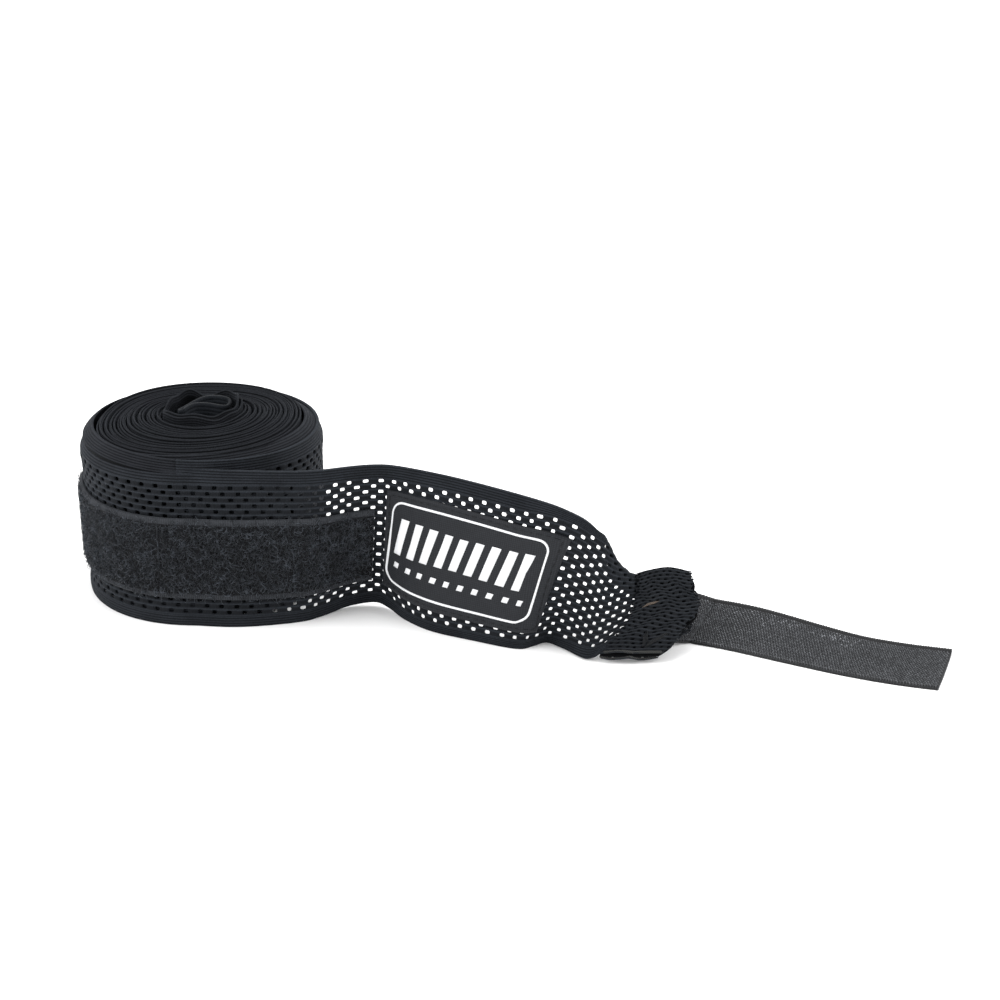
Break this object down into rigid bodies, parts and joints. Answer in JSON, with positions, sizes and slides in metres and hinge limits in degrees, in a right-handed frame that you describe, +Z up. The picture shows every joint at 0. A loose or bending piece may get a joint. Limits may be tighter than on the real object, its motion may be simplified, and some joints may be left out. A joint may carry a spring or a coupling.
{
  "type": "hand wrap",
  "caption": "Elastic mesh hand wrap rolled up on its edge, its free end laid out with loop tape, a woven label and a narrow hook strap.",
  "frame": {"origin": "middle of the underside of the box that holds the whole wrap as it stands", "axes": "+Z up along the roll's axis, +X from the roll towards the tip of the hook strap, -Y the side that shows the label"},
  "size_m": [0.262, 0.1186, 0.0571],
  "materials": {
    "mesh": "knitted elastic mesh, matt black",
    "tape": "ribbed elastic tape, matt black",
    "pile": "brushed nylon loop pile, slate black",
    "thread": "polyester sewing thread, black",
    "satin": "woven satin label, black with a white woven border",
    "hook": "woven tape with nylon hooks, dark grey"
  },
  "bodies": {
    "roll": {"rolled_band": "mesh", "loop_tape_on_roll": "pile", "loop_tape_lower_seam_on_roll": "thread", "loop_tape_upper_seam_on_roll": "thread", "thumb_loop": "tape", "thumb_loop_bar_tack": "thread"},
    "lead": {"band_lead": "mesh", "loop_tape_on_lead": "pile", "loop_tape_lower_seam_on_lead": "thread", "loop_tape_upper_seam_on_lead": "thread"},
    "label_panel": {"band_panel": "mesh", "label": "satin", "label_stitching": "thread"},
    "folded_end": {"band_folded_end": "mesh", "bar_tack_lower": "thread", "bar_tack_upper": "thread", "hook_strap_root": "hook"},
    "strap": {"hook_strap": "hook"}
  },
  "joints": [
    {"name": "peel_from_roll", "type": "hinge", "parent": "roll", "child": "lead", "pos_m": [-0.09158, -0.01946, 0.02507], "axis": [0, 0, 1], "range_deg": [-60, 5]},
    {"name": "crease_bend", "type": "hinge", "parent": "lead", "child": "label_panel", "pos_m": [-0.03638, -0.00856, 0.02507], "axis": [0, 0, 1], "range_deg": [-30, 45]},
    {"name": "neck_bend", "type": "hinge", "parent": "label_panel", "child": "folded_end", "pos_m": [0.03322, -0.03416, 0.01207], "axis": [0, 0, 1], "range_deg": [-30, 40]},
    {"name": "strap_fold", "type": "hinge", "parent": "folded_end", "child": "strap", "pos_m": [0.05675, -0.02964, 0.00172], "axis": [-0.3995, -0.9108, -0.1045], "range_deg": [0, 90]}
  ]
}
